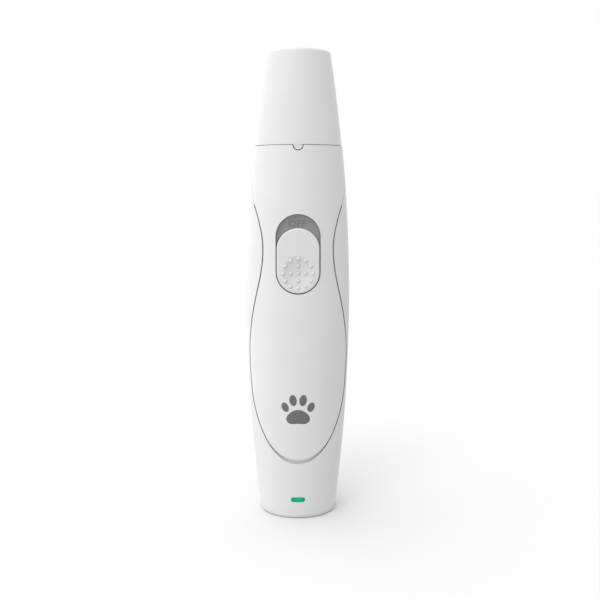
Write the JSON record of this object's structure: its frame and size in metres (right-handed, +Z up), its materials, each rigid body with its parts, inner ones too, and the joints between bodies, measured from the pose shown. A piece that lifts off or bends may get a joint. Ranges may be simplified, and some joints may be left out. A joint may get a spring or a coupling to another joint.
{
  "type": "pet nail grinder",
  "caption": "Slim round battery-powered pet nail grinder with a tapered lift-off cap, a front slide switch and a motor-driven grinding drum inside the cap.",
  "frame": {"origin": "middle of the flat base that the grinder stands on", "axes": "+Z up along the grinder's axis, -Y towards the front with the switch, +X to the right seen from the front"},
  "size_m": [0.0358, 0.0361, 0.16],
  "materials": {
    "housing_white": "satin moulded ABS",
    "knob_white": "satin moulded ABS",
    "collar_grey": "fine satin",
    "dial_grey": "fine matte",
    "inner_plastic": "matte moulded",
    "black_plastic": "matte moulded",
    "motor_steel": "zinc plated",
    "spindle_steel": "turned",
    "core_steel": "laminated",
    "motor_end_plastic": "matte moulded",
    "contact_brass": "stamped",
    "bush_bronze": "sintered",
    "contact_nickel": "nickel plated",
    "magnet_dark": "ferrite",
    "damper_rubber": "matte",
    "drum_rubber": "matte",
    "abrasive": "coarse grit",
    "battery_wrap": "shrink sleeve",
    "foam_pad": "foam",
    "board_green": "solder mask",
    "led_lit": "lit diode",
    "window_lit": "lit light guide",
    "lead_red": "insulated wire"
  },
  "bodies": {
    "housing": {"front_shell": "housing_white", "rear_shell": "housing_white", "nose_collar": "collar_grey", "dial_plate": "dial_grey", "switch_case": "black_plastic", "motor_can": "motor_steel", "motor_end_bell": "motor_end_plastic", "motor_terminals": "contact_brass", "motor_bushes": "bush_bronze", "motor_magnets": "magnet_dark", "motor_damper": "damper_rubber", "motor_saddle": "inner_plastic", "battery_cell": "battery_wrap", "battery_tabs": "contact_nickel", "battery_cradle": "inner_plastic", "battery_pad": "foam_pad", "circuit_board": "board_green", "board_components": "black_plastic", "led": "led_lit", "light_window": "window_lit", "charge_socket": "contact_nickel", "socket_tongue": "black_plastic", "motor_leads": "lead_red", "battery_leads": "lead_red"},
    "cap": {"cap": "housing_white"},
    "switch": {"switch_knob": "knob_white", "switch_carriage": "inner_plastic", "switch_lever": "black_plastic"},
    "spindle": {"motor_shaft": "spindle_steel", "rotor": "core_steel", "commutator": "bush_bronze", "arbor": "spindle_steel", "drum_core": "drum_rubber", "abrasive_sleeve": "abrasive", "drum_screw": "spindle_steel"}
  },
  "joints": [
    {"name": "cap_pull", "type": "slide", "parent": "housing", "child": "cap", "axis": [0, 0, 1], "range_m": [0, 0.05]},
    {"name": "switch_slide", "type": "slide", "parent": "housing", "child": "switch", "axis": [0, 0.0309, 0.9995], "range_m": [0, 0.0043]},
    {"name": "spindle_spin", "type": "hinge", "parent": "housing", "child": "spindle", "pos_m": [0, 0, 0.144], "axis": [0, 0, 1], "continuous": true}
  ]
}
